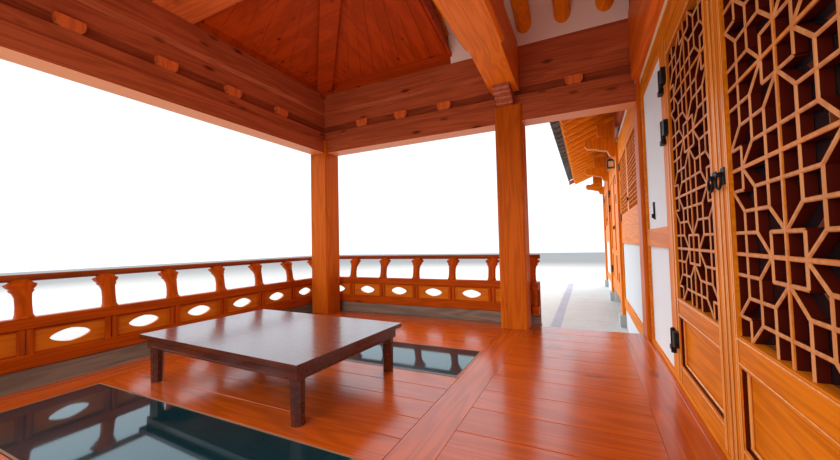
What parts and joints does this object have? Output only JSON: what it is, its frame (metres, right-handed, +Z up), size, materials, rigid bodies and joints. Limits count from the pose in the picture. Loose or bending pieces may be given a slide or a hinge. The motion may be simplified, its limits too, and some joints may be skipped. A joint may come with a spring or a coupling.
{
  "type": "hanok house",
  "caption": "Hanok house: an open railed corner hall with a floor of boards and glass panels under a tiled hip-and-gable roof, joined to a wing of plastered rooms.",
  "frame": {"origin": "middle of the plan, on the ground under the terrace", "axes": "+Y along the wing towards its plain end, +X from the railed side of the hall towards the wing, +Z up"},
  "size_m": [9.6004, 12.8572, 5.3712],
  "materials": {
    "pine": "varnished pine, satin",
    "beam": "dark varnished timber",
    "ceiling": "varnished ceiling boards",
    "floor": "polished floor boards, glossy",
    "railing": "varnished timber",
    "deck": "weathered boards",
    "table": "dark lacquer, glossy",
    "plaster": "white lime plaster, matte",
    "stone": "dressed stone, matte",
    "tile": "grey fired roof tile, matte",
    "glass": "clear"
  },
  "bodies": {
    "house": {"terrace_hall": "stone", "terrace_wing": "stone", "post_far_left": "pine", "post_far_entrance": "pine", "post_door_far": "pine", "post_near_left": "pine", "post_near_entrance": "pine", "post_door_near": "pine", "girder_door": "pine", "rafters_inner": "pine", "rafters_near": "pine", "rafters_left": "pine", "rafters_back": "pine", "wing_frame_court_near": "pine", "wing_frame_court_end": "pine", "wing_door_frame": "pine", "wing_frame_outer": "pine", "window_court_1": "pine", "window_court_2": "pine", "door_wall_frame": "pine", "hall_floor": "floor", "wing_floor": "floor", "hall_floor_beams": "beam", "lintels": "beam", "soro_band": "beam", "eave_purlins": "beam", "girder_main": "beam", "side_beam": "beam", "bracket_far": "beam", "bracket_near": "beam", "hip_rafters": "beam", "hip_rafter_back": "beam", "bargeboards_left": "beam", "bargeboards_end": "beam", "outer_deck": "deck", "glass_floor_far": "glass", "glass_floor_near": "glass", "low_table": "table", "railing_left": "railing", "railing_far": "railing", "railing_near": "railing", "hall_ceiling": "ceiling", "roof_far": "tile", "roof_near": "tile", "roof_left": "tile", "roof_back": "tile", "roof_court": "tile", "roof_ridges": "tile", "gable_left": "plaster", "wing_plaster_court_near": "plaster", "wing_plaster_court_end": "plaster", "wing_plaster_outer": "plaster", "door_wall_plaster_far": "plaster", "door_wall_plaster_near": "plaster"},
    "door_leaf_far": {"door_leaf_far": "pine", "door_glass_far": "glass"},
    "door_leaf_near": {"door_leaf_near": "pine", "door_glass_near": "glass"},
    "wing_door_right": {"wing_door_right": "pine"},
    "wing_door_left": {"wing_door_left": "pine"}
  },
  "joints": [
    {"name": "door_leaf_far_hinge", "type": "hinge", "parent": "house", "child": "door_leaf_far", "pos_m": [-0.261, -2.5814, 1.63], "axis": [0, 0, -1], "range_deg": [0, 165]},
    {"name": "door_leaf_near_hinge", "type": "hinge", "parent": "house", "child": "door_leaf_near", "pos_m": [-0.261, -4.3214, 1.63], "axis": [0, 0, 1], "range_deg": [0, 165]},
    {"name": "wing_door_right_hinge", "type": "hinge", "parent": "house", "child": "wing_door_right", "pos_m": [-0.261, 1.1836, 1.63], "axis": [0, 0, 1], "range_deg": [0, 165]},
    {"name": "wing_door_left_hinge", "type": "hinge", "parent": "house", "child": "wing_door_left", "pos_m": [-0.261, 3.1336, 1.63], "axis": [0, 0, -1], "range_deg": [0, 165]}
  ]
}
